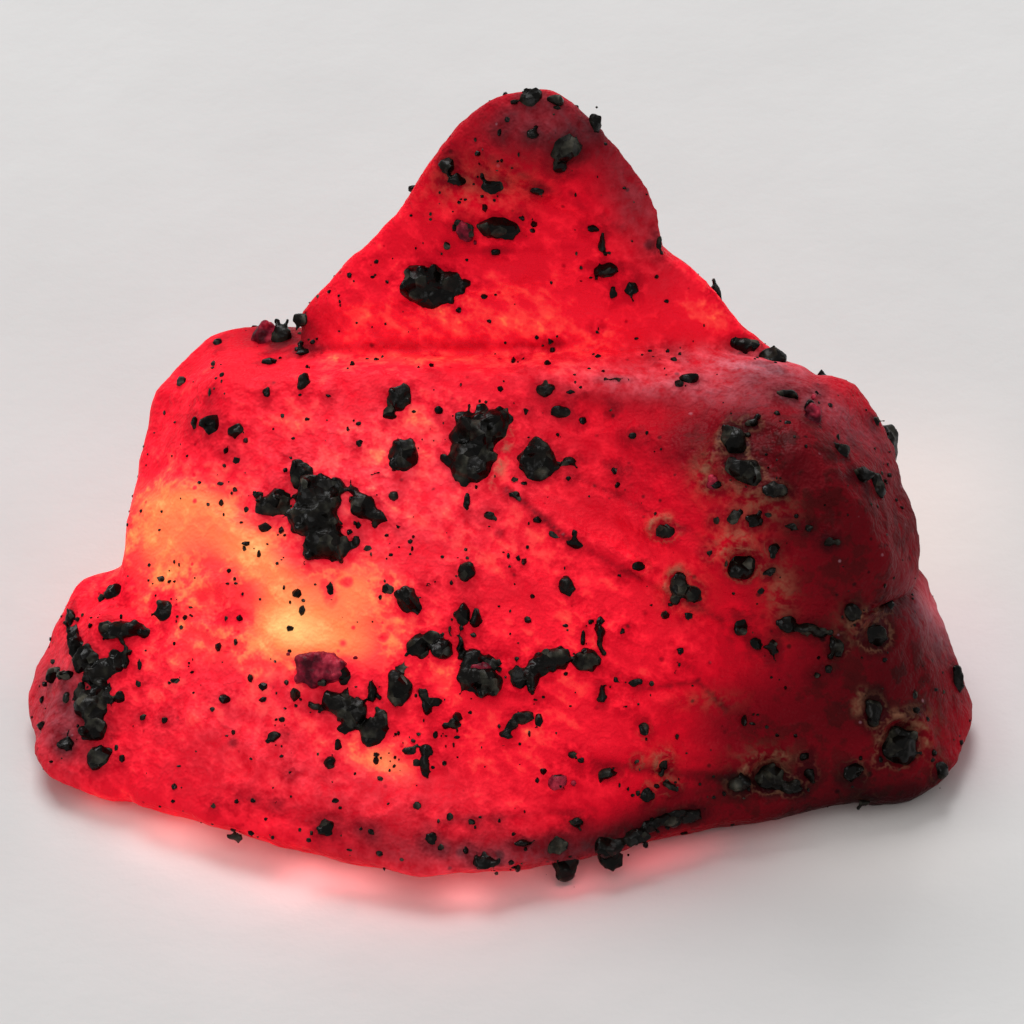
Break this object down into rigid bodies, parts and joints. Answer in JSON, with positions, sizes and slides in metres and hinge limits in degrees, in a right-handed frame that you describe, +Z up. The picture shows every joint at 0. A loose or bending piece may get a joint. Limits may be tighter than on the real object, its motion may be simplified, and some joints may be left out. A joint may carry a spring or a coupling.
{
  "type": "raw ruby crystal",
  "caption": "Rough, leaning wedge of red ruby with a narrow shelf, a peak behind it and black mineral grains grown into its skin; a loose mineral specimen that rests on a flat base.",
  "frame": {"origin": "middle of the footprint, on the flat face that the stone rests on", "axes": "+Z up; the broad leaning face looks towards -Y and up; +X to the right of that face, along the stone's length"},
  "size_m": [0.0201, 0.0141, 0.0127],
  "materials": {
    "ruby": "translucent natural ruby, strong red that passes to orange where it is thin and to maroon where it is thick, with a skin between frosted and glassy",
    "black_grains": "black mineral grains with small glossy facets"
  },
  "bodies": {
    "root": {"ruby_crystal": "ruby"}
  },
  "joints": []
}
